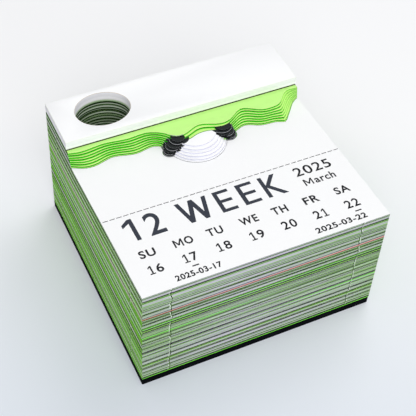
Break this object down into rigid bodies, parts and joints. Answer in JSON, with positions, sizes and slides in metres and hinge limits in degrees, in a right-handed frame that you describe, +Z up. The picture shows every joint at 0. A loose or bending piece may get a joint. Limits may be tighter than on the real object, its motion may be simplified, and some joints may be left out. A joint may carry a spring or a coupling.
{
  "type": "calendar memo pad",
  "caption": "Square tear-off desk calendar memo pad on a board, with a stepped paper relief at the back and an oval pen hole in its binding strip.",
  "frame": {"origin": "the middle of the underside of the base board", "axes": "+Z up through the stack of cards, +X to the reader's right along the front edge, +Y to the rear, towards the binding strip"},
  "size_m": [0.088, 0.0874, 0.0532],
  "materials": {
    "black_board": "matt black paper over solid grey board",
    "green_card": "uncoated card printed bright green on both faces",
    "card_edges": "trimmed edges of uncoated card, white core with green print at the faces",
    "pink_card": "uncoated card printed pink",
    "relief_card": "uncoated card printed light green, white and near-black",
    "page_card": "uncoated white card with dark print",
    "strip_card": "smooth white card",
    "adhesive": "layer of grey adhesive in shadow, set back from the edges",
    "padding_glue": "brushed, dried white padding glue"
  },
  "bodies": {
    "pad": {"base_board": "black_board", "end_sheet": "green_card", "sheet_block_01": "card_edges", "sheet_block_02": "card_edges", "sheet_block_03": "card_edges", "sheet_block_04": "card_edges", "sheet_block_05": "card_edges", "sheet_block_06": "card_edges", "green_sheet_01": "green_card", "sheet_block_07": "card_edges", "sheet_block_08": "card_edges", "sheet_block_09": "card_edges", "sheet_block_10": "card_edges", "green_sheet_02": "green_card", "sheet_block_11": "card_edges", "sheet_block_12": "card_edges", "green_sheet_03": "green_card", "sheet_block_13": "card_edges", "sheet_block_14": "card_edges", "sheet_block_15": "card_edges", "pink_sheet": "pink_card", "sheet_block_16": "card_edges", "sheet_block_17": "card_edges", "sheet_block_18": "card_edges", "sheet_block_19": "card_edges", "sheet_block_20": "card_edges", "next_page_root": "relief_card", "current_page_root": "relief_card", "relief_card_01": "relief_card", "relief_card_02": "relief_card", "relief_card_03": "relief_card", "relief_card_04": "relief_card", "relief_card_05": "relief_card", "relief_card_06": "relief_card", "relief_card_07": "relief_card", "relief_card_08": "relief_card", "relief_card_09": "relief_card", "relief_card_10": "relief_card", "relief_card_11": "relief_card", "relief_card_12": "relief_card", "relief_card_13": "relief_card", "relief_card_14": "relief_card", "strip_glue": "adhesive", "strip_lower_ply": "strip_card", "strip_upper_ply": "strip_card", "spine_glue": "padding_glue"},
    "next_page": {"next_page_leaf": "page_card"},
    "memo_page": {"memo_leaf": "page_card"},
    "calendar_fold": {"calendar_strip": "page_card"}
  },
  "joints": [
    {"name": "next_page_lift", "type": "hinge", "parent": "pad", "child": "next_page", "pos_m": [0, 0.0207, 0.04503], "axis": [-1, 0, 0], "range_deg": [0, 15]},
    {"name": "memo_page_lift", "type": "hinge", "parent": "next_page", "child": "memo_page", "pos_m": [0, 0.0207, 0.04534], "axis": [-1, 0, 0], "range_deg": [0, 45]},
    {"name": "calendar_strip_fold", "type": "hinge", "parent": "memo_page", "child": "calendar_fold", "pos_m": [0, -0.0095, 0.04677], "axis": [-1, 0, 0], "range_deg": [0, 120]}
  ]
}
